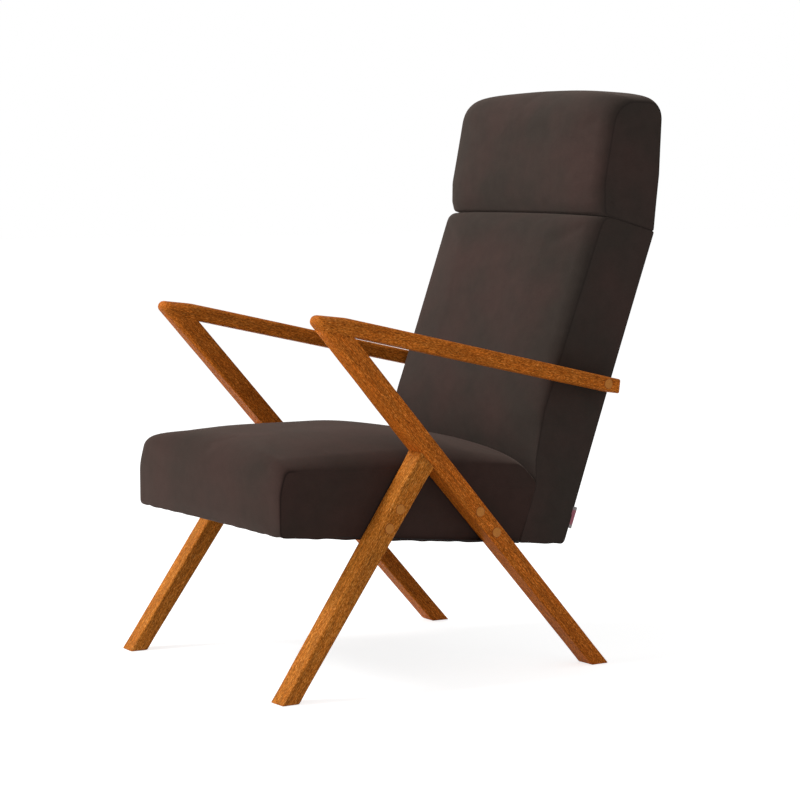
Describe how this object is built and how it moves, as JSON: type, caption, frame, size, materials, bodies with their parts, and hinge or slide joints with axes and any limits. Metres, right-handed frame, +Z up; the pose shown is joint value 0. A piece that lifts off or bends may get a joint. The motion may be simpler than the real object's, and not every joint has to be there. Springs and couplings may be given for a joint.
{
  "type": "lounge chair",
  "caption": "Lounge chair with a tall padded back, a padded headrest and two open wooden side frames, each with crossed legs and a sloping armrest.",
  "frame": {"origin": "on the floor, under the middle of the chair's bounding box", "axes": "+Z up, the sitter faces -Y, +X is the sitter's left"},
  "size_m": [0.6302, 0.8557, 1.0625],
  "materials": {
    "frame_wood": "stained, satin varnish",
    "inner_timber": "raw planed timber",
    "cover_fabric": "smooth brushed microfibre",
    "panel_fabric": "woven backing cloth on board",
    "foam": "open cell foam",
    "webbing": "elastic woven webbing",
    "steel": "zinc plated",
    "glide_plastic": "nylon",
    "tab_ribbon": "plain folded ribbon"
  },
  "bodies": {
    "root": {"armrest_left": "frame_wood", "armrest_right": "frame_wood", "back_bottom_rail": "inner_timber", "back_cover": "cover_fabric", "back_foam": "foam", "back_lumbar_rail": "inner_timber", "back_neck_rail": "inner_timber", "back_rear_panel": "panel_fabric", "back_stile_left": "inner_timber", "back_stile_right": "inner_timber", "back_webbing": "webbing", "bolt_cover_plugs": "frame_wood", "bolt_washers": "steel", "bracket_screws": "steel", "foot_glide_front_left": "glide_plastic", "foot_glide_front_right": "glide_plastic", "foot_glide_rear_left": "glide_plastic", "foot_glide_rear_right": "glide_plastic", "frame_bolts": "steel", "front_leg_left": "frame_wood", "front_leg_right": "frame_wood", "headrest_cover": "cover_fabric", "headrest_foam": "foam", "headrest_rail": "inner_timber", "headrest_rear_panel": "panel_fabric", "leg_dowels": "frame_wood", "long_leg_left": "frame_wood", "long_leg_right": "frame_wood", "nose_dowels": "frame_wood", "seat_back_bracket_left": "steel", "seat_back_bracket_right": "steel", "seat_cover": "cover_fabric", "seat_dust_cover": "panel_fabric", "seat_foam": "foam", "seat_front_rail": "inner_timber", "seat_rear_rail": "inner_timber", "seat_side_rail_left": "inner_timber", "seat_side_rail_right": "inner_timber", "seat_webbing": "webbing", "side_tab": "tab_ribbon", "threaded_inserts": "steel"}
  },
  "joints": []
}
